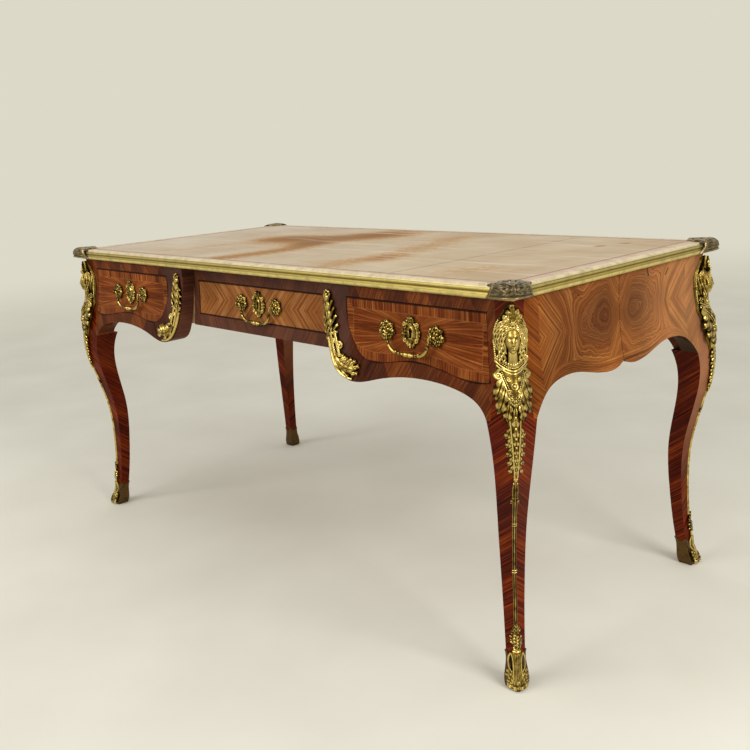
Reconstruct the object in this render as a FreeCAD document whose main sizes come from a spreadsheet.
"""Flat-topped writing desk with three drawers, cabriole legs and gilt mounts.

Frame: the origin is on the floor under the middle of the desk, X runs along the desk, the drawers face -Y
and Z points up. All sizes are in millimetres and are kept in the document's sheet.
"""
import FreeCAD, Part, Sketcher
import math
import os

V = FreeCAD.Vector
UP = V(0, 0, 1)

doc = FreeCAD.newDocument("WritingDesk")
sheet = doc.addObject("Spreadsheet::Sheet", "Sizes")

# Driving sizes: name, value, meaning.
SIZES = (
    ("total_height", 775, "floor to writing surface"),
    ("top_length", 1545, "top along X, over the edge moulding"),
    ("top_depth", 730, "top along Y, over the edge moulding"),
    ("edge_height", 26, "height of the edge moulding and of the top board"),
    ("edge_reach", 16, "moulding outside the top board"),
    ("edge_foot", 6, "width of the moulding's underside"),
    ("leather_inset_x", 43, "end border between moulding edge and leather"),
    ("leather_inset_y", 33, "long border between moulding edge and leather"),
    ("leather_thick", 1.5, "writing leather"),
    ("frieze_inset", 14.5, "frieze plane inside the moulding's outer edge"),
    ("frame_thick", 34, "front and back frames"),
    ("centre_recess", 34, "centre section behind the side blocks"),
    ("panel_thick", 22, "end panels"),
    ("front_thick", 22, "drawer fronts"),
    ("drawer_gap", 1, "gap round a drawer front"),
    ("post_width", 36.5, "corner post from the frieze plane inwards"),
    ("neck_drop", 60, "hollow of the frieze below the top"),
    ("neck_in", 1, "depth of that hollow"),
    ("swell_drop", 150, "swell of the frieze below the top"),
    ("swell_out", 7.5, "reach of that swell"),
    ("knee_drop", 244, "knee below the top"),
    ("knee_out", 20, "reach of the knee"),
    ("knee_thick", 56.5, "leg at the knee"),
    ("shin_share", 0.38, "shin between ankle and knee"),
    ("shin_in", 8, "shin inside the frieze plane"),
    ("shin_thick", 38, "leg at the shin"),
    ("ankle_height", 205, "ankle above the floor"),
    ("ankle_in", 13, "ankle inside the frieze plane"),
    ("ankle_thick", 31, "leg at the ankle"),
    ("toe_out", 5, "toe outside the frieze plane"),
    ("toe_thick", 25, "leg at the toe"),
    ("ear_drop", 219, "joint of apron and leg below the top"),
    ("ear_width", 10, "ear of the leg under the apron's tip"),
    ("block_inner", 264, "inner edge of a side block from the middle"),
    ("lobe_drop", 198, "lowest point of a block's lobe below the top"),
    ("lobe_in", 91, "that point from the block's inner edge"),
    ("crown_drop", 168, "highest point of the front apron below the top"),
    ("end_crown_drop", 164, "highest point of the end apron below the top"),
    ("end_lobe_drop", 186, "lowest point of the end apron's middle"),
    ("end_cusp_drop", 174, "cusp in the middle of the end apron"),
    ("stile_inner", 74, "block frame inside the drawer"),
    ("stile_outer", 18.5, "block frame outside the drawer, at the top"),
    ("rail_drop", 25, "block frame above the drawer"),
    ("drawer_crown_drop", 139.5, "highest point of a side drawer's lower edge"),
    ("drawer_lobe_drop", 153, "lowest point of its inner lobe"),
    ("drawer_heel_drop", 157.5, "lowest point near its outer corner"),
    ("drawer_corner_drop", 152, "its lower outer corner"),
    ("drawer_flare", 13, "outer edge's lean over its height"),
    ("centre_stile", 22, "centre frame beside the drawer"),
    ("centre_rail_drop", 34, "centre frame above the drawer"),
    ("centre_base_drop", 121, "lower edge of the centre drawer opening"),
    ("centre_frame_drop", 149, "underside of the centre frame"),
    ("partition_in", 4, "partition outside the block's inner edge"),
    ("partition_thick", 22, "partition"),
    ("box_wall", 12, "drawer sides and back"),
    ("box_floor", 8, "drawer bottom"),
    ("box_floor_up", 6, "drawer bottom above the sides' lower edge"),
    ("box_inset_inner", 42, "side drawer box inside its front at the lobe"),
    ("box_inset_outer", 5, "side drawer box inside its front at the post"),
    ("box_inset_centre", 6, "centre drawer box inside its opening"),
    ("box_lift", 2.8, "drawer box above the opening's lower edge"),
    ("box_drop", 12, "drawer box below the opening's upper edge"),
    ("box_back_gap", 18, "drawer box in front of the back frame"),
    ("slide_gap", 0.3, "drawer box above its runner"),
    ("side_gap", 0.6, "drawer box beside its guide"),
    ("runner_depth", 30, "runner under a drawer side"),
    ("runner_cover", 20, "runner inwards from a drawer side's outer face"),
    ("guide_width", 8, "guide beside a drawer side"),
    ("guide_height", 20, "guide above the runner"),
    ("stop_height", 28, "stop block above the runner"),
    ("kicker_width", 24, "kicker above a drawer side"),
    ("handle_drop", 82, "handle axis of a side drawer below the top"),
    ("centre_handle_drop", 77, "handle axis of the centre drawer below the top"),
    ("handle_spread", 128, "between the two rosettes"),
    ("rosette_wide", 44, "rosette"),
    ("rosette_petals", 7, "petals of a rosette"),
    ("rosette_rim", 2.5, "rosette thickness at its rim"),
    ("rosette_crown", 6, "rosette thickness at its boss"),
    ("bail_stand", 15, "handle axis outside the front's plane"),
    ("bail_thick", 6, "bail rod"),
    ("bail_pin", 5, "bail's pivot pins"),
    ("bail_fall", 41, "bail's bar below its axis"),
    ("bail_turn", 20, "bend between bail's arm and bar"),
    ("bail_bend", 6, "bend between bail's pin and arm"),
    ("bail_knop", 11, "knop in the middle of the bail"),
    ("pin_clearance", 0.3, "bail pin in its eye"),
    ("eye_wide", 12, "eye on the rosette's post"),
    ("eye_long", 7, "eye along the handle's axis"),
    ("plate_tall", 64, "escutcheon"),
    ("plate_wide", 42, "escutcheon"),
    ("plate_thick", 4, "escutcheon"),
    ("key_wide", 5, "keyhole slot"),
    ("key_tall", 14, "keyhole"),
    ("lock_wide", 56, "lock case"),
    ("lock_tall", 60, "lock case"),
    ("lock_deep", 12, "lock case"),
    ("bolt_wide", 16, "lock bolt"),
    ("bolt_tall", 34, "lock bolt"),
    ("bolt_thick", 4.5, "lock bolt"),
    ("bolt_travel", 8, "lock bolt's lift"),
    ("bolt_gap", 0.4, "lock bolt in its case"),
    ("strike_long", 30, "strike plate"),
    ("strike_wide", 9, "strike plate"),
    ("strike_thick", 1.5, "strike plate"),
    ("strike_room", 1, "slot of the strike round the bolt"),
    ("clasp_along", 56, "corner clasp along each edge"),
    ("clasp_nose", 11, "corner clasp outside the moulding's corner"),
    ("clasp_lip", 5, "corner clasp's lower edge above the moulding's foot"),
    ("clasp_skin", 1.5, "corner clasp outside the moulding"),
    ("clasp_over", 34, "corner clasp inwards over the top"),
    ("clasp_rise", 6, "corner clasp above the top"),
    ("mask_drop", 69, "mask of a corner mount below the top"),
    ("mask_wide", 57, "corner mount at the mask"),
    ("mask_reach", 24, "mask in front of the post's edge"),
    ("drop_end_drop", 321, "lower end of a corner mount below the top"),
    ("fillet_wide", 9, "leg fillet"),
    ("fillet_reach", 2.5, "leg fillet in front of the leg's edge"),
    ("leaf_height", 98, "middle of the fillet's leaf above the floor"),
    ("leaf_wide", 22, "fillet's leaf"),
    ("leaf_reach", 5, "fillet's leaf in front of the leg's edge"),
    ("sabot_height", 68, "sabot"),
    ("sabot_skin", 2, "sabot outside the leg"),
    ("sabot_flare", 4.5, "sabot outside the leg at the toe"),
    ("sabot_sole", 3, "sole under the leg"),
    ("scroll_wide", 36, "scroll mount"),
    ("scroll_reach", 12, "scroll mount in front of the frame"),
)

# Sizes worked out from the driving ones.
DERIVED = (
    ("underside", "total_height - edge_height"),
    ("reach_end", "top_length / 2 - frieze_inset"),
    ("reach_front", "top_depth / 2 - frieze_inset"),
    ("reach_centre", "reach_front - centre_recess"),
    ("frame_back", "reach_front - frame_thick"),
    ("centre_frame_back", "reach_centre - frame_thick"),
    ("post_x", "reach_end - post_width"),
    ("post_y", "reach_front - post_width"),
    ("drawer_inner", "block_inner + stile_inner"),
    ("drawer_outer", "post_x - stile_outer"),
    ("drawer_middle", "(drawer_inner + drawer_outer) / 2"),
    ("box_inner", "drawer_inner + box_inset_inner"),
    ("box_outer", "drawer_outer - box_inset_outer"),
    ("box_base", "underside - drawer_crown_drop + box_lift"),
    ("box_top", "underside - rail_drop - box_drop"),
    ("box_rear", "frame_back - box_back_gap"),
    ("front_rear", "reach_front - front_thick"),
    ("partition_inner", "block_inner + partition_in"),
    ("centre_half", "partition_inner - centre_stile"),
    ("centre_box", "centre_half - box_inset_centre"),
    ("centre_box_base", "underside - centre_base_drop + box_lift"),
    ("centre_box_top", "underside - centre_rail_drop - box_drop / 2"),
    ("centre_box_rear", "centre_frame_back - box_back_gap"),
    ("centre_front_rear", "reach_centre - front_thick"),
)

for row, (alias, value, meaning) in enumerate(SIZES, 1):
    sheet.set(f"A{row}", meaning)
    sheet.set(f"B{row}", str(value))
    sheet.setAlias(f"B{row}", alias)
for row, (alias, formula) in enumerate(DERIVED, len(SIZES) + 1):
    sheet.set(f"A{row}", "worked out")
    sheet.set(f"B{row}", "=" + formula)
    sheet.setAlias(f"B{row}", alias)
doc.recompute()


def size(alias):
    """Value of a named cell, in millimetres."""
    return float(sheet.get(alias))


UNDER = size("underside")
HALF_ROOT = math.sqrt(0.5)
OUTWARD = V(HALF_ROOT, -HALF_ROOT, 0)
ACROSS = V(HALF_ROOT, HALF_ROOT, 0)
nodes = []


def keep(item):
    """Adds a finished sub-part to those that are written out."""
    nodes.append(item)
    return item


def form(label, shape, place=None):
    """Sub-part with a free form, which takes its place after its shape."""
    item = doc.addObject("Part::Feature", label)
    item.Shape = shape
    item.Placement = (place or FreeCAD.Placement()).multiply(shape.Placement)
    return keep(item)


def box(label, x, y, z):
    """Plain board between low and high limits, which are expressions on the sheet's names."""
    item = doc.addObject("Part::Box", label)
    for side, axis, (low, high) in (("Length", "x", x), ("Width", "y", y), ("Height", "z", z)):
        item.setExpression(side, f"({high}) - ({low})")
        item.setExpression(f"Placement.Base.{axis}", low)
    return item


def board(label, x, y, z):
    """Board that is a sub-part of its own."""
    return keep(box(label, x, y, z))


def group(label, members):
    """Like pieces that share one sub-part as separate solids."""
    item = doc.addObject("Part::Compound", label)
    item.Links = members
    return keep(item)


def limits(low, high, sign):
    """Low and high expressions of a piece on the right, or of its mirror image on the left."""
    if sign > 0:
        return (low, high)
    return (f"-({high})", f"-({low})")


def turned(angle, x=0.0, y=0.0):
    """Placement turned about the vertical and then moved."""
    return FreeCAD.Placement(V(x, y, 0), FreeCAD.Rotation(UP, angle))


# Outlines


def spline(points):
    """Smooth curve through points."""
    curve = Part.BSplineCurve()
    curve.interpolate(points)
    return curve


def chain(*edges):
    """Wire of edges and straight runs; a run is given as its list of points."""
    made = []
    for edge in edges:
        if isinstance(edge, list):
            made += [Part.LineSegment(a, b).toShape() for a, b in zip(edge, edge[1:])]
        else:
            made.append(edge.toShape())
    return Part.Wire(Part.__sortEdges__(made))


def oval(centre, half, rise):
    """Closed oval about a centre, with its two half axes given as vectors."""
    points = []
    for step in range(8):
        turn = math.radians(45 * step)
        points.append(centre + half * math.cos(turn) + rise * math.sin(turn))
    curve = Part.BSplineCurve()
    curve.interpolate(points, PeriodicFlag=True)
    return Part.Wire(curve.toShape())


def prism(wire, move):
    """Solid swept by a flat outline."""
    return Part.Face(wire).extrude(move)


def parameter_at(curve, height):
    """Parameter where a falling curve passes a height."""
    first, last = curve.FirstParameter, curve.LastParameter
    for _ in range(50):
        middle = (first + last) / 2
        if curve.value(middle).z > height:
            first = middle
        else:
            last = middle
    return first


KNEE = UNDER - size("knee_drop")
ANKLE = size("ankle_height")
SHIN = ANKLE + size("shin_share") * (KNEE - ANKLE)
EAR = UNDER - size("ear_drop")

# Outer face of frieze and leg: x is its reach outside the frieze plane.
outer_line = spline([
    V(0, 0, UNDER),
    V(-size("neck_in"), 0, UNDER - size("neck_drop")),
    V(size("swell_out"), 0, UNDER - size("swell_drop")),
    V(size("knee_out"), 0, KNEE),
    V(-size("shin_in"), 0, SHIN),
    V(-size("ankle_in"), 0, ANKLE),
    V(size("toe_out"), 0, 0),
])

# Inner face of the leg, from its ear under the apron down to the toe.
inner_line = spline([
    V(-size("post_width") - size("ear_width"), 0, EAR),
    V(size("knee_out") - size("knee_thick"), 0, KNEE - 1.5 * size("ear_width")),
    V(-size("shin_in") - size("shin_thick"), 0, SHIN),
    V(-size("ankle_in") - size("ankle_thick"), 0, ANKLE),
    V(size("toe_out") - size("toe_thick"), 0, 0),
])


def reach_at(height):
    """Outer face outside the frieze plane at a height."""
    return outer_line.value(parameter_at(outer_line, height)).x


def faced_slab(reach, thick, low, half):
    """Board along X whose face, towards -Y, swells as the desk's outer line does."""
    cut = parameter_at(outer_line, low)
    poles = outer_line.copy()
    poles.segment(poles.FirstParameter, cut)
    turn = FreeCAD.Placement(V(-half, -reach, 0), FreeCAD.Rotation(UP, -90))
    poles.transform(turn.toMatrix())
    foot = poles.value(poles.LastParameter)
    head = poles.value(poles.FirstParameter)
    back = thick - reach
    run = [foot, V(-half, back, foot.z), V(-half, back, head.z), head]
    return prism(chain(poles, run), V(2 * half, 0, 0))


def faced_board(wire, reach, thick, low, half):
    """Part of a swelling board inside an outline in the XZ plane."""
    depth = 2 * (reach + size("knee_out"))
    cutter = prism(wire, V(0, -depth, 0))
    return faced_slab(reach, thick, low, half).common(cutter)


# Side blocks: outline of the frame and of its drawer opening


def block_outline(sign):
    """Curves of a side block: inner edge with lobe and apron, and the straight rest."""
    inner, post = size("block_inner"), size("post_x")
    lobe, crown, ear = size("lobe_drop"), size("crown_drop"), size("ear_drop")
    lobe_x = inner + size("lobe_in")
    tip_x = post - size("ear_width")
    run = tip_x - lobe_x
    points = (
        (inner, 0),
        (inner + 0.04 * size("lobe_in"), 0.3 * lobe),
        (inner + 0.16 * size("lobe_in"), 0.55 * lobe),
        (inner + 0.31 * size("lobe_in"), 0.75 * lobe),
        (inner + 0.55 * size("lobe_in"), 0.92 * lobe),
        (lobe_x, lobe),
        (lobe_x + 0.22 * run, crown + 0.53 * (lobe - crown)),
        (lobe_x + 0.60 * run, crown),
        (lobe_x + 0.82 * run, crown + 0.18 * (ear - crown)),
        (lobe_x + 0.94 * run, crown + 0.51 * (ear - crown)),
        (tip_x, ear),
    )
    edge = spline([V(sign * x, 0, UNDER - drop) for x, drop in points])
    corners = ((tip_x, EAR), (post, EAR), (post, UNDER), (inner, UNDER))
    return edge, [V(sign * x, 0, z) for x, z in corners]


def shifted(points, centre, gap):
    """Points of a curve moved towards a centre, square to the curve."""
    curve = spline(points)
    moved = []
    for point in points:
        along = curve.tangent(curve.parameter(point))[0]
        square = V(-along.z, 0, along.x)
        if square.dot(centre - point) < 0:
            square = -square
        moved.append(point + square * gap)
    return moved


def drawer_outline(sign, gap):
    """Closed outline of a side drawer, smaller than its opening by a gap all round."""
    inner, outer = size("drawer_inner"), size("drawer_outer")
    wide = outer - inner
    rail, crown, lobe = size("rail_drop"), size("drawer_crown_drop"), size("drawer_lobe_drop")
    corner_x = outer + size("drawer_flare")
    corner = size("drawer_corner_drop")
    side = (
        (outer, rail),
        (outer + 0.1 * size("drawer_flare"), rail + 0.35 * (corner - rail)),
        (outer + 0.45 * size("drawer_flare"), rail + 0.72 * (corner - rail)),
        (corner_x, corner),
    )
    lower = (
        (corner_x, corner),
        (inner + 0.92 * wide, size("drawer_heel_drop")),
        (inner + 0.75 * wide, 0.55 * crown + 0.45 * size("drawer_heel_drop")),
        (inner + 0.57 * wide, crown),
        (inner + 0.38 * wide, 0.62 * crown + 0.38 * lobe),
        (inner + 0.225 * wide, lobe),
        (inner + 0.123 * wide, lobe - 0.08 * (lobe - rail)),
        (inner + 0.049 * wide, lobe - 0.31 * (lobe - rail)),
        (inner + 0.008 * wide, lobe - 0.57 * (lobe - rail)),
        (inner, rail),
    )
    centre = V(sign * (inner + outer) / 2, 0, UNDER - (rail + crown) / 2)
    right = shifted([V(sign * x, 0, UNDER - drop) for x, drop in side], centre, gap)
    below = shifted([V(sign * x, 0, UNDER - drop) for x, drop in lower], centre, gap)
    right[0] = right[0] - UP * gap
    below[-1] = below[-1] - UP * gap
    meet = right[-1] + UP * gap
    right[-1] = meet
    below[0] = meet
    return chain(spline(right), spline(below), [below[-1], right[0]])


def centre_outline(gap):
    """Closed outline of the centre drawer, smaller than its opening by a gap all round."""
    half = size("centre_half") - gap
    high = UNDER - size("centre_rail_drop") - gap
    low = UNDER - size("centre_base_drop") + gap
    return chain([V(-half, 0, low), V(half, 0, low), V(half, 0, high), V(-half, 0, high), V(-half, 0, low)])


FRAME_LOW = UNDER - 1.02 * size("ear_drop")
DEPTH = V(0, -size("top_depth"), 0)


def strike_room(x, reach, rail):
    """Recess for a strike plate and the mortise above it, in the rail over a drawer."""
    middle = reach - size("front_thick") - size("lock_deep") / 2
    long, wide, thick = size("strike_long"), size("strike_wide"), size("strike_thick")
    room = size("strike_room")
    slot_x = size("bolt_wide") + 2 * room
    slot_y = size("bolt_thick") + 2 * room
    deep = size("bolt_travel") + 2 * room
    base = UNDER - rail
    plate = Part.makeBox(long, wide, thick, V(x - long / 2, -middle - wide / 2, base))
    mortise = Part.makeBox(slot_x, slot_y, deep, V(x - slot_x / 2, -middle - slot_y / 2, base))
    return plate, mortise


def block_frame(sign):
    """Front of a side block with its drawer opening and the lock's mortise."""
    edge, rest = block_outline(sign)
    half = size("reach_end")
    frame = faced_board(chain(edge, rest), size("reach_front"), size("frame_thick"), FRAME_LOW, half)
    return frame.cut(prism(drawer_outline(sign, 0), DEPTH))


def centre_frame():
    """Recessed frame between the partitions, with the centre drawer's opening."""
    half, low = size("partition_inner"), UNDER - size("centre_frame_drop")
    run = [V(-half, 0, low), V(half, 0, low), V(half, 0, UNDER), V(-half, 0, UNDER), V(-half, 0, low)]
    frame = faced_board(chain(run), size("reach_centre"), size("frame_thick"), FRAME_LOW, 2 * half)
    return frame.cut(prism(centre_outline(0), DEPTH))


def parted(frame, height):
    """Frame parted level at a height: the apron below, the stiles above."""
    span = 2 * size("reach_end")
    over = Part.makeBox(span, span, UNDER, V(-span / 2, -span, height))
    return Part.makeCompound(frame.cut(over).Solids + frame.common(over).Solids)


def end_panel():
    """End of the desk between two corner posts, as seen when it faces -Y."""
    post, ear = size("post_y"), size("ear_drop")
    crown, lobe = size("end_crown_drop"), size("end_lobe_drop")
    tip = post - size("ear_width")
    points = (
        (tip, ear),
        (0.935 * tip, crown + 0.58 * (ear - crown)),
        (0.83 * tip, crown + 0.18 * (ear - crown)),
        (0.68 * tip, crown),
        (0.52 * tip, crown + 0.1 * (lobe - crown)),
        (0.36 * tip, crown + 0.6 * (lobe - crown)),
        (0.18 * tip, lobe),
        (0.07 * tip, lobe - 0.22 * (lobe - size("end_cusp_drop"))),
        (0, size("end_cusp_drop")),
    )
    right = spline([V(x, 0, UNDER - drop) for x, drop in points])
    left = spline([V(-x, 0, UNDER - drop) for x, drop in points])
    corners = ((tip, EAR), (post, EAR), (post, UNDER), (-post, UNDER), (-post, EAR), (-tip, EAR))
    rest = [V(x, 0, z) for x, z in corners]
    return faced_board(chain(right, left, rest), size("reach_end"), size("panel_thick"), FRAME_LOW, post)


def keyhole(x, reach, height):
    """Round head and slot of a keyhole, running through a drawer front."""
    wide, tall = size("key_wide"), size("key_tall")
    deep = reach + size("knee_out")
    head = Part.makeCylinder(0.7 * wide, deep, V(x, -deep, height + 0.3 * tall), V(0, 1, 0))
    slot = Part.makeBox(wide, deep, 0.8 * tall, V(x - wide / 2, -deep, height - 0.5 * tall))
    return head.fuse(slot).removeSplitter()


def drawer_front(sign, gap):
    """Front of a side drawer, or of the centre drawer where the sign is zero."""
    if sign:
        wire, reach = drawer_outline(sign, gap), size("reach_front")
    else:
        wire, reach = centre_outline(gap), size("reach_centre")
    return faced_board(wire, reach, size("front_thick"), FRAME_LOW, size("reach_end"))


# Legs and their mounts, in the corner's own frame: x and -y point outwards from the frieze planes


def leg_template():
    """Outline that is sawn from both sides of the blank."""
    sole = size("sabot_sole")
    outer, inner = outer_line.copy(), inner_line.copy()
    outer.segment(outer.FirstParameter, parameter_at(outer, sole))
    inner.segment(inner.FirstParameter, parameter_at(inner, sole))
    toe_in, toe_out = inner.value(inner.LastParameter), outer.value(outer.LastParameter)
    toe_in.z = toe_out.z
    post = -size("post_width")
    ear = inner.value(inner.FirstParameter)
    foot = [inner.value(inner.LastParameter), toe_out]
    rest = [outer.value(outer.FirstParameter), V(post, 0, UNDER), V(post, 0, EAR), ear]
    return chain(outer, foot, inner, rest)


def leg_shape():
    """Cabriole leg: the common part of two saw cuts square to each other."""
    span = 4 * size("knee_thick")
    one = prism(leg_template(), V(0, span, 0))
    one.translate(V(0, -span / 2, 0))
    other = one.copy()
    other.rotate(V(0, 0, 0), UP, -90)
    return one.common(other)


def corner_core():
    """All that lies inside the outer faces of both sides at a corner: the bed of a corner mount."""
    deep = 2 * size("knee_thick")
    outer = outer_line.copy()
    head, foot = outer.value(outer.FirstParameter), outer.value(outer.LastParameter)
    rest = [foot, V(-deep, 0, foot.z), V(-deep, 0, head.z), head]
    one = prism(chain(outer, rest), V(0, 2 * deep, 0))
    one.translate(V(0, -deep, 0))
    other = one.copy()
    other.rotate(V(0, 0, 0), UP, -90)
    return one.common(other)


def edge_section(height, wide, reach, ridged):
    """Part of an oval over the leg's outer edge, or a ridged bar of flats, closed by a chord inside the leg."""
    seat = wide / 2
    middle = reach_at(height) / HALF_ROOT - seat
    points = []
    for angle in (-110, -55, 0, 55, 110):
        turn = math.radians(angle)
        out = middle + (seat + reach) * math.cos(turn)
        points.append(OUTWARD * out + ACROSS * (seat * math.sin(turn)) + UP * height)
    closing = [points[-1], points[0]]
    return chain(points, closing) if ridged else chain(spline(points), closing)


def edge_mount(stations, core, ridged=False):
    """Casting that is lofted along the leg's outer edge and fitted to the faces behind it."""
    wires = [edge_section(height, wide, reach, ridged) for height, wide, reach in stations]
    return Part.makeLoft(wires, True, False).cut(core)


def chute_stations():
    """Height, width and reach of a corner mount: crown, mask, neck, bust, leaves and drop."""
    wide, reach = size("mask_wide"), size("mask_reach")
    mask = UNDER - size("mask_drop")
    tail = UNDER - size("drop_end_drop")
    above, below = UNDER - mask, mask - tail
    return (
        (mask + 0.90 * above, 0.16 * wide, 0.12 * reach),
        (mask + 0.68 * above, 0.55 * wide, 0.42 * reach),
        (mask + 0.36 * above, 0.88 * wide, 0.75 * reach),
        (mask, wide, reach),
        (mask - 0.10 * below, 0.95 * wide, 0.88 * reach),
        (mask - 0.19 * below, 0.88 * wide, 0.36 * reach),
        (mask - 0.27 * below, 1.02 * wide, 0.70 * reach),
        (mask - 0.38 * below, 0.98 * wide, 0.75 * reach),
        (mask - 0.48 * below, 1.05 * wide, 0.62 * reach),
        (mask - 0.56 * below, 0.85 * wide, 0.46 * reach),
        (mask - 0.64 * below, 0.62 * wide, 0.33 * reach),
        (mask - 0.76 * below, 0.50 * wide, 0.21 * reach),
        (mask - 0.88 * below, 0.34 * wide, 0.16 * reach),
        (tail, size("fillet_wide"), size("fillet_reach")),
    )


def fillet_stations():
    """Height, width and reach of a leg fillet and the leaf at its foot."""
    wide, reach = size("fillet_wide"), size("fillet_reach")
    tail = UNDER - size("drop_end_drop")
    leaf, foot = size("leaf_height"), size("sabot_height")
    half = leaf - foot
    top = leaf + half
    steps = [(tail + share * (top - tail), wide, reach) for share in (0, 0.25, 0.5, 0.75)]
    return steps + [
        (top, wide, reach),
        (leaf + 0.45 * half, 0.75 * size("leaf_wide"), 0.8 * size("leaf_reach")),
        (leaf, size("leaf_wide"), size("leaf_reach")),
        (leaf - 0.55 * half, 0.7 * size("leaf_wide"), 0.8 * size("leaf_reach")),
        (foot, wide, reach),
    ]


def sabot_shape(leg):
    """Shoe round the foot of a leg, with a sole under it and a hollow in each upper edge."""
    tall, skin, flare = size("sabot_height"), size("sabot_skin"), size("sabot_flare")
    wires = []
    for share, extra in ((0, 0.75 * flare), (0.2, flare), (0.55, skin), (1, skin)):
        height = share * tall
        out = reach_at(height) + extra
        back = inner_line.value(parameter_at(inner_line, height)).x - extra
        run = [V(out, -out, height), V(out, -back, height), V(back, -back, height), V(back, -out, height)]
        wires.append(chain(run + run[:1]))
    shoe = Part.makeLoft(wires, True, False)
    middle = (reach_at(tall) + inner_line.value(parameter_at(inner_line, tall)).x) / 2
    radius = 0.36 * size("toe_thick")
    span = 4 * size("toe_thick")
    along_y = Part.makeCylinder(radius, span, V(middle, -middle - span / 2, tall), V(0, 1, 0))
    along_x = Part.makeCylinder(radius, span, V(middle - span / 2, -middle, tall), V(1, 0, 0))
    return shoe.cut(leg).cut(along_y).cut(along_x)


CORNERS = (
    ("front_right", 0, 1, -1),
    ("back_right", 90, 1, 1),
    ("back_left", 180, -1, 1),
    ("front_left", 270, -1, -1),
)


def build_corners():
    """Legs with their corner mounts, fillets and sabots, one at each corner."""
    leg, core = leg_shape(), corner_core()
    chute = edge_mount(chute_stations(), core)
    fillet = edge_mount(fillet_stations(), core, ridged=True)
    sabot = sabot_shape(leg)
    fillets, sabots = [], []
    for name, angle, side_x, side_y in CORNERS:
        place = turned(angle, side_x * size("reach_end"), side_y * size("reach_front"))
        form(f"leg_{name}", leg, place)
        form(f"chute_{name}", chute, place)
        for made, shape in ((fillets, fillet), (sabots, sabot)):
            item = shape.copy()
            item.Placement = place
            made.append(item)
    form("leg_fillets", Part.makeCompound(fillets))
    form("sabots", Part.makeCompound(sabots))


# Frames, panels and partitions


def build_frames():
    """Front frames and rails, back frames, end panels, partitions, and the strike plates in the rails."""
    strikes, rails = [], []
    places = (
        ("left", -1, -size("drawer_middle"), size("reach_front"), size("rail_drop")),
        ("centre", 0, 0, size("reach_centre"), size("centre_rail_drop")),
        ("right", 1, size("drawer_middle"), size("reach_front"), size("rail_drop")),
    )
    frames = {}
    for name, sign, x, reach, rail in places:
        plain = block_frame(sign) if sign else centre_frame()
        plate, mortise = strike_room(x, reach, rail)
        strikes.append(plate.cut(mortise))
        frames[name] = plain
        span = 2 * size("reach_end")
        over = Part.makeBox(span, span, rail, V(-span / 2, -span, UNDER - rail))
        rails.append(plain.common(over).cut(plate.fuse(mortise)))
        lower = plain.cut(over)
        if sign:
            lower = parted(lower, UNDER - 0.95 * size("drawer_crown_drop"))
        form(f"front_frame_{name}", lower)
    for name, source in (("left", "right"), ("centre", "centre"), ("right", "left")):
        form(f"back_frame_{name}", frames[source], turned(180))
    form("front_rails", Part.makeCompound(rails))
    form("lock_strikes", Part.makeCompound(strikes))
    panel = end_panel()
    form("end_panel_right", panel, turned(90))
    form("end_panel_left", panel, turned(270))
    low = "Sizes.underside - Sizes.centre_frame_drop"
    walls = []
    for name, sign in (("left", -1), ("right", 1)):
        x = limits("Sizes.partition_inner", "Sizes.partition_inner + Sizes.partition_thick", sign)
        y, z = ("-Sizes.frame_back", "Sizes.frame_back"), (low, "Sizes.underside")
        walls.append(box(f"partition_{name}", x, y, z))
    group("partitions", walls)
    return frames


def scroll_mount(sign, frame):
    """Acanthus scroll that follows a block's inner edge and curls under the drawer's lobe."""
    edge = block_outline(sign)[0]
    wide, reach = size("scroll_wide"), size("scroll_reach")
    lobe = V(sign * (size("block_inner") + size("lobe_in")), 0, UNDER - size("lobe_drop"))
    first, last = edge.FirstParameter, edge.parameter(lobe)
    wires = []
    steps = (
        (0.04, 0.3, 0.5),
        (0.24, 1, 1),
        (0.45, 0.95, 1),
        (0.63, 0.9, 0.9),
        (0.82, 1, 1),
        (1.02, 0.95, 1),
        (1.12, 0.4, 0.5),
    )
    for share, swell, rise in steps:
        step = first + share * (last - first)
        along = edge.tangent(step)[0]
        square = V(-along.z * sign, 0, along.x * sign)
        centre = edge.value(step) + square * (0.68 * wide)
        centre.y = -size("reach_front") - reach_at(centre.z)
        half = square * (0.5 * wide * swell)
        wires.append(oval(centre, half, V(0, -reach * rise, 0)))
    return Part.makeLoft(wires, True, False).cut(frame)


def build_scrolls(frames):
    """Scroll mounts on both blocks, front and back."""
    front = [scroll_mount(sign, frames[name]) for name, sign in (("left", -1), ("right", 1))]
    back = [shape.copy() for shape in front]
    for shape in back:
        shape.Placement = turned(180)
    form("scroll_mounts", Part.makeCompound(front + back))


# Top


def attach(sketch, body, role):
    """Lays a sketch on one of its body's own origin planes."""
    plane = next(item for item in body.Origin.OriginFeatures if item.Role == role)
    sketch.AttachmentSupport = [(plane, "")]
    sketch.MapMode = "FlatFace"


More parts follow.
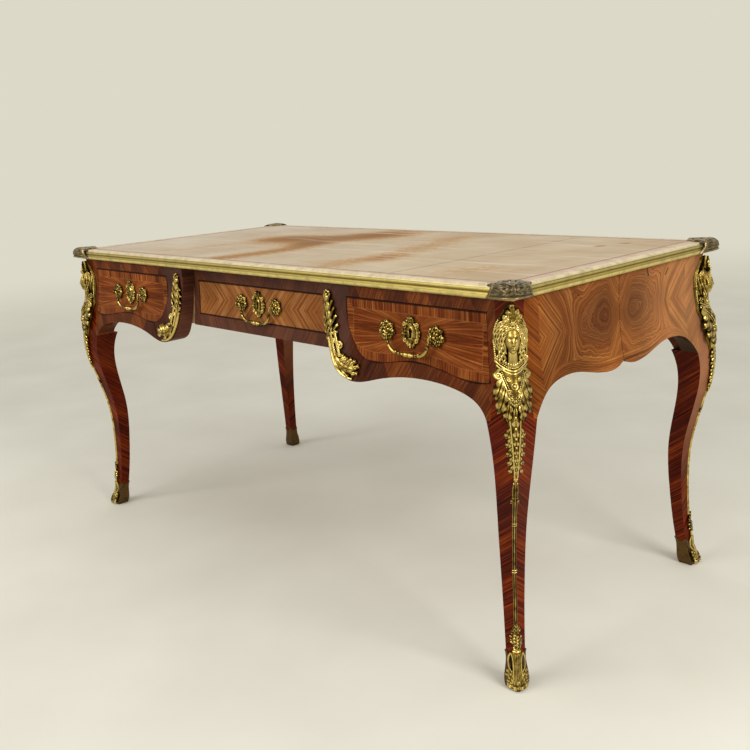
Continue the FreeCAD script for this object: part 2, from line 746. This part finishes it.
def rectangle(body, name, length, width):
    """Sketched rectangle about the body's origin, with its sides bound to the sheet."""
    sketch = body.newObject("Sketcher::SketchObject", name)
    attach(sketch, body, "XY_Plane")
    corners = (V(-10, -5, 0), V(10, -5, 0), V(10, 5, 0), V(-10, 5, 0))
    for start, end in zip(corners, corners[1:] + corners[:1]):
        sketch.addGeometry(Part.LineSegment(start, end), False)
    for side in range(4):
        sketch.addConstraint(Sketcher.Constraint("Coincident", side, 2, (side + 1) % 4, 1))
    for side in (0, 2):
        sketch.addConstraint(Sketcher.Constraint("Horizontal", side))
    for side in (1, 3):
        sketch.addConstraint(Sketcher.Constraint("Vertical", side))
    sketch.addConstraint(Sketcher.Constraint("Symmetric", 0, 1, 1, 2, -1, 1))
    for edge, start, end, expression in ((0, 1, 2, length), (1, 1, 2, width)):
        kind = "DistanceX" if edge == 0 else "DistanceY"
        index = sketch.addConstraint(Sketcher.Constraint(kind, edge, start, edge, end, 10.0))
        sketch.setExpression(f"Constraints[{index}]", expression)
    return sketch


LEATHER_LENGTH = "Sizes.top_length - 2 * Sizes.leather_inset_x"
LEATHER_WIDTH = "Sizes.top_depth - 2 * Sizes.leather_inset_y"


def build_top():
    """Top board with a bed for the leather, the leather itself, edge moulding and corner clasps."""
    body = doc.addObject("PartDesign::Body", "top_panel")
    length = "Sizes.top_length - 2 * Sizes.edge_reach"
    width = "Sizes.top_depth - 2 * Sizes.edge_reach"
    outline = rectangle(body, "top_outline", length, width)
    pad = body.newObject("PartDesign::Pad", "top_board")
    pad.Profile = outline
    pad.setExpression("Length", "Sizes.edge_height")
    bed_outline = rectangle(body, "bed_outline", LEATHER_LENGTH, LEATHER_WIDTH)
    bed_outline.setExpression("AttachmentOffset.Base.z", "Sizes.edge_height")
    bed = body.newObject("PartDesign::Pocket", "leather_bed")
    bed.Profile = bed_outline
    bed.setExpression("Length", "Sizes.leather_thick")
    body.setExpression("Placement.Base.z", "Sizes.underside")
    keep(body)
    hide = doc.addObject("PartDesign::Body", "writing_leather")
    sheet_outline = rectangle(hide, "leather_outline", LEATHER_LENGTH, LEATHER_WIDTH)
    skin = hide.newObject("PartDesign::Pad", "leather_sheet")
    skin.Profile = sheet_outline
    skin.setExpression("Length", "Sizes.leather_thick")
    hide.setExpression("Placement.Base.z", "Sizes.total_height - Sizes.leather_thick")
    keep(hide)
    doc.recompute()
    strips = moulding_strips()
    form("top_moulding", Part.makeCompound(strips))
    clasp = clasp_blank()
    half_x, half_y = size("top_length") / 2, size("top_depth") / 2
    clasps = []
    for _, angle, side_x, side_y in CORNERS:
        shape = clasp.copy()
        shape.Placement = turned(angle, side_x * half_x, side_y * half_y)
        clasps.append(shape.cut(body.Shape).cut(Part.makeCompound(strips)))
    form("corner_clasps", Part.makeCompound(clasps))


def moulding_profile(half):
    """Section of the edge moulding on a side that faces -Y: a torus below and a quarter round above."""
    tall, reach, foot = size("edge_height"), size("edge_reach"), size("edge_foot")

    def at(out, up):
        return V(-half, -out, UNDER + up)

    groove = 0.53 * tall
    step_in, step_out = at(0.8 * reach, groove - 0.03 * tall), at(0.94 * reach, groove + 0.03 * tall)
    shoulder = at(0.5 * reach, tall)
    torus = Part.Arc(at(foot, 0), at(reach, 0.27 * tall), step_in)
    round_up = Part.Arc(step_out, at(0.82 * reach, 0.86 * tall), shoulder)
    rest = [shoulder, at(0, tall), at(0, 0), at(foot, 0)]
    return chain(torus, [step_in, step_out], round_up, rest)


def moulding_strips():
    """Four lengths of edge moulding, mitred at the corners."""
    strips = []
    reach, tall = size("edge_reach"), size("edge_height")
    sides = (
        (0, size("top_length") / 2, size("top_depth") / 2),
        (90, size("top_depth") / 2, size("top_length") / 2),
        (180, size("top_length") / 2, size("top_depth") / 2),
        (270, size("top_depth") / 2, size("top_length") / 2),
    )
    for angle, half, out in sides:
        wire = moulding_profile(half)
        wire.translate(V(0, reach - out, 0))
        strip = prism(wire, V(2 * half, 0, 0))
        short = half - reach
        corners = ((-half, -out), (half, -out), (short, reach - out), (-short, reach - out))
        run = [V(x, y, UNDER) for x, y in corners]
        mitred = strip.common(prism(chain(run + run[:1]), UP * tall))
        mitred.Placement = turned(angle)
        strips.append(mitred)
    return strips


def clasp_blank():
    """Domed corner clasp before it is fitted: x and -y point outwards from the moulding's corner."""
    along, nose, skin = size("clasp_along"), size("clasp_nose"), size("clasp_skin")
    over, rise, lip = size("clasp_over"), size("clasp_rise"), size("clasp_lip")
    bend = 0.45 * along

    def at(x, y):
        return V(x, -y, UNDER + lip)

    front_run = [at(-along, skin), at(-bend, 2 * skin)]
    side_run = [at(2 * skin, -bend), at(skin, -along)]
    tip = Part.Arc(front_run[1], at(0.9 * nose, 0.9 * nose), side_run[0])
    shell = Part.Arc(side_run[1], at(-over, -over), front_run[0])
    blank = prism(chain(front_run, tip, side_run, shell), UP * (size("edge_height") + rise - lip))
    high = blank.BoundBox.ZMax
    rim = [edge for edge in blank.Edges if edge.BoundBox.ZMin > high - 0.01]
    return blank.makeFillet(1.3 * rise, rim)


# Drawers


def rosette_shape():
    """Round rosette with a post that ends in the bail's eye; its seat is at y = 0 and it faces -Y."""
    radius, rim, crown = size("rosette_wide") / 2, size("rosette_rim"), size("rosette_crown")
    stand, eye, long = size("bail_stand"), size("eye_wide") / 2, size("eye_long")
    hole = size("bail_pin") / 2 + size("pin_clearance")
    seat = size("front_thick") / 4

    def at(out, up):
        return V(out, -up, 0)

    dome = Part.Arc(at(radius, rim), at(0.8 * radius, 0.8 * crown), at(0.45 * radius, 0.62 * crown))
    boss = Part.Arc(at(0.45 * radius, 0.62 * crown), at(0.3 * radius, 1.25 * crown), at(0, 1.5 * crown))
    section = chain(dome, boss, [at(0, 1.5 * crown), at(0, -seat), at(radius, -seat), at(radius, rim)])
    plate = Part.Face(section).revolve(V(0, 0, 0), V(0, 1, 0), 360)
    notch = Part.makeCylinder(0.16 * radius, 2 * crown, V(1.04 * radius, 0, 0), V(0, -1, 0))
    petals = int(size("rosette_petals"))
    notches = [notch.rotated(V(0, 0, 0), V(0, 1, 0), 360 * step / petals) for step in range(petals)]
    plate = plate.cut(notches)
    post = Part.makeCylinder(0.6 * eye, stand, V(0, 0, 0), V(0, -1, 0))
    ring = Part.makeCylinder(eye, long, V(-long / 2, -stand, 0), V(1, 0, 0))
    pin_room = Part.makeCylinder(hole, 2 * long, V(-long, -stand, 0), V(1, 0, 0))
    return plate.fuse([post, ring]).cut(pin_room)


def escutcheon_shape():
    """Cartouche with a raised middle; its seat is at y = 0 and it faces -Y."""
    tall, wide, thick = size("plate_tall") / 2, size("plate_wide") / 2, size("plate_thick")
    seat = size("front_thick") / 4
    points = ((0, 1), (0.42, 0.72), (0.6, 0.5), (1, 0.15), (0.92, -0.3), (0.5, -0.7), (0.3, -0.86), (0, -1))

    def plate(share, thickness):
        right = spline([V(share * wide * x, seat, share * tall * z) for x, z in points])
        left = spline([V(-share * wide * x, seat, share * tall * z) for x, z in points])
        return prism(chain(right, left), V(0, -seat - thickness, 0))

    return plate(1, thick).fuse(plate(0.66, 1.7 * thick))


def bail_shape():
    """Hanging bail about its own axis: pins, arms, bar and a knop in the middle."""
    spread, fall, turn = size("handle_spread") / 2, size("bail_fall"), size("bail_turn")
    bend, long, thick = size("bail_bend"), size("eye_long"), size("bail_thick")
    face = spread - long / 2 - size("pin_clearance")
    arm = face - bend
    slant = 1 - HALF_ROOT

    def half(side):
        elbow = V(side * (arm + slant * bend), 0, -slant * bend)
        upper = [V(side * face, 0, 0), elbow, V(side * arm, 0, -bend)]
        knuckle = V(side * (arm - slant * turn), 0, slant * turn - fall)
        lower = [V(side * arm, 0, turn - fall), knuckle, V(side * (arm - turn), 0, -fall)]
        return [Part.Arc(*upper), Part.LineSegment(upper[-1], lower[0]), Part.Arc(*lower)]

    bar = Part.LineSegment(V(turn - arm, 0, -fall), V(arm - turn, 0, -fall))
    path = Part.Wire([piece.toShape() for piece in half(-1) + [bar] + half(1)[::-1]])
    rim = Part.Wire(Part.makeCircle(thick / 2, V(-face, 0, 0), V(1, 0, 0)))
    rod = path.makePipeShell([rim], True, False)
    wide, collar = size("bail_knop"), 0.65 * thick
    corners = ((0.75, collar), (0.75, 0), (-0.75, 0), (-0.75, collar))
    ends = [V(side * wide, 0, up - fall) for side, up in corners]
    belly = Part.Arc(ends[3], V(0, 0, wide / 2 - fall), ends[0])
    knop = Part.Face(chain(belly, ends)).revolve(V(0, 0, -fall), V(1, 0, 0), 360)
    pins = []
    for side in (-1, 1):
        pins.append(Part.makeCylinder(size("bail_pin") / 2, 1.3 * long, V(side * face, 0, 0), V(side, 0, 0)))
    return rod.fuse([knop] + pins)


def moved(shape, x, reach, height):
    """Shape moved onto a front."""
    made = shape.copy()
    made.translate(V(x, -reach, height))
    return made


def handle_pieces(x, reach, height, front):
    """Escutcheon, rosettes and bail fitted to a front."""
    face = reach + reach_at(height)
    hole = keyhole(x, reach, height)
    plate = moved(escutcheon_shape(), x, face, height).cut(front).cut(hole)
    half = size("handle_spread") / 2
    rosettes = [moved(rosette_shape(), x + side * half, face, height).cut(front) for side in (-1, 1)]
    bail = moved(bail_shape(), x, face + size("bail_stand"), height)
    return plate, rosettes, bail


DRAWERS = (
    ("left", -1, "reach_front", "handle_drop"),
    ("centre", 0, "reach_centre", "centre_handle_drop"),
    ("right", 1, "reach_front", "handle_drop"),
)


def build_drawers():
    """Drawers with fronts, boxes, locks and handles, and the sham ones at the back."""
    sham_fronts, sham_plates = [], []
    for name, sign, reach_name, drop_name in DRAWERS:
        x, reach = sign * size("drawer_middle"), size(reach_name)
        height = UNDER - size(drop_name)
        plain = drawer_front(sign, size("drawer_gap"))
        plate, rosettes, bail = handle_pieces(x, reach, height, plain)
        form(f"drawer_{name}_front", plain.cut(keyhole(x, reach, height)))
        form(f"drawer_{name}_escutcheon", plate)
        form(f"drawer_{name}_rosettes", Part.makeCompound(rosettes))
        form(f"drawer_{name}_bail", bail)
        build_box(name, sign)
        build_lock(name, sign)
        other = {"left": "right", "centre": "centre", "right": "left"}[name]
        form(f"sham_bail_{other}", bail, turned(180))
        sham = drawer_front(sign, 0)
        for made, shapes in ((sham_fronts, [sham]), (sham_plates, [plate] + rosettes)):
            for shape in shapes:
                copy = shape.copy()
                copy.Placement = turned(180)
                made.append(copy)
    form("sham_drawer_fronts", Part.makeCompound(sham_fronts))
    form("sham_handle_plates", Part.makeCompound(sham_plates))


def box_limits(sign):
    """Expressions of a drawer box: sides along X, base, top, front end and rear end."""
    if sign:
        x = limits("Sizes.box_inner", "Sizes.box_outer", sign)
        z = ("Sizes.box_base", "Sizes.box_top")
        return x, z, ("-Sizes.front_rear", "Sizes.box_rear"), "Sizes.frame_back"
    x = ("-Sizes.centre_box", "Sizes.centre_box")
    z = ("Sizes.centre_box_base", "Sizes.centre_box_top")
    return x, z, ("-Sizes.centre_front_rear", "Sizes.centre_box_rear"), "Sizes.centre_frame_back"


def build_box(name, sign):
    """Sides, back and bottom of a drawer."""
    (left, right), (base, high), (front, rear), _ = box_limits(sign)
    wall = "Sizes.box_wall"
    sides = [
        box(f"{name}_side_a", (left, f"{left} + {wall}"), (front, rear), (base, high)),
        box(f"{name}_side_b", (f"{right} - {wall}", right), (front, rear), (base, high)),
    ]
    group(f"drawer_{name}_sides", sides)
    between = (f"{left} + {wall}", f"{right} - {wall}")
    floor = f"{base} + Sizes.box_floor_up"
    board(f"drawer_{name}_bottom", between, (front, rear), (floor, f"{floor} + Sizes.box_floor"))
    board(f"drawer_{name}_back", between, (f"{rear} - {wall}", rear), (f"{floor} + Sizes.box_floor", high))


def build_lock(name, sign):
    """Lock case behind a drawer front, and the bolt that rises out of it."""
    x = f"{sign} * Sizes.drawer_middle"
    front = "Sizes.front_rear" if sign else "Sizes.centre_front_rear"
    rail = "Sizes.rail_drop" if sign else "Sizes.centre_rail_drop"
    high = f"Sizes.underside - {rail} - Sizes.drawer_gap"
    middle = f"-{front} + Sizes.lock_deep / 2"
    gap = "Sizes.bolt_gap"
    case = box(
        f"{name}_case_block",
        (f"{x} - Sizes.lock_wide / 2", f"{x} + Sizes.lock_wide / 2"),
        (f"-{front}", f"-{front} + Sizes.lock_deep"),
        (f"{high} - Sizes.lock_tall", high),
    )
    across = (f"{x} - Sizes.bolt_wide / 2", f"{x} + Sizes.bolt_wide / 2")
    through = (f"{middle} - Sizes.bolt_thick / 2", f"{middle} + Sizes.bolt_thick / 2")
    upright = (f"{high} - Sizes.bolt_tall", high)
    room = box(
        f"{name}_bolt_room",
        (f"{across[0]} - {gap}", f"{across[1]} + {gap}"),
        (f"{through[0]} - {gap}", f"{through[1]} + {gap}"),
        (f"{upright[0]} - {gap}", f"{upright[1]} + Sizes.bolt_travel"),
    )
    lock = doc.addObject("Part::Cut", f"drawer_{name}_lock_case")
    lock.Base = case
    lock.Tool = room
    keep(lock)
    board(f"drawer_{name}_lock_bolt", across, through, upright)


def build_runners():
    """Runners with guides under the drawer sides, stops behind them and kickers above them."""
    carriers, kickers = [], []
    for name, sign, _, _ in DRAWERS:
        (left, right), (base, high), (_, rear), frame = box_limits(sign)
        top = f"{base} - Sizes.slide_gap"
        run = (f"-{frame}", frame)
        gap, cover = "Sizes.side_gap", "Sizes.runner_cover"
        outer_left = f"{left} - {gap} - Sizes.guide_width"
        outer_right = f"{right} + {gap} + Sizes.guide_width"
        left_over = (left, f"{left} + Sizes.kicker_width")
        right_over = (f"{right} - Sizes.kicker_width", right)
        ends = (
            ("a", (outer_left, f"{left} + {cover}"), (outer_left, f"{left} - {gap}"), left_over),
            ("b", (f"{right} - {cover}", outer_right), (f"{right} + {gap}", outer_right), right_over),
        )
        behind = (f"{rear} + Sizes.slide_gap", frame)
        for end, runner, guide, over in ends:
            bar = box(f"{name}_runner_{end}", runner, run, (f"{top} - Sizes.runner_depth", top))
            fence = box(f"{name}_guide_{end}", guide, run, (top, f"{top} + Sizes.guide_height"))
            stop = box(f"{name}_stop_{end}", over, behind, (top, f"{top} + Sizes.stop_height"))
            carriers += [bar, fence, stop]
            kickers.append(box(f"{name}_kicker_{end}", over, run, (f"{high} + {gap}", "Sizes.underside")))
    group("drawer_runners", carriers)
    group("drawer_kickers", kickers)


def check():
    """Stops if a feature failed or a sub-part's shape is empty or broken."""
    for item in doc.Objects:
        bad = [state for state in item.State if state in ("Invalid", "Error")]
        if bad:
            raise RuntimeError(f"{item.Label} is {bad}")
    for item in nodes:
        if item.Shape.isNull() or not item.Shape.isValid() or not item.Shape.Solids:
            raise RuntimeError(f"{item.Label} has no valid solid")


def write():
    """Writes each sub-part to its own file."""
    os.makedirs("parts", exist_ok=True)
    for item in nodes:
        item.Shape.exportStep(f"parts/{item.Label}.step")


build_corners()
build_scrolls(build_frames())
build_top()
build_drawers()
build_runners()
doc.recompute()
check()
write()
print(len(nodes), "sub-parts,", sum(len(item.Shape.Solids) for item in nodes), "solids")
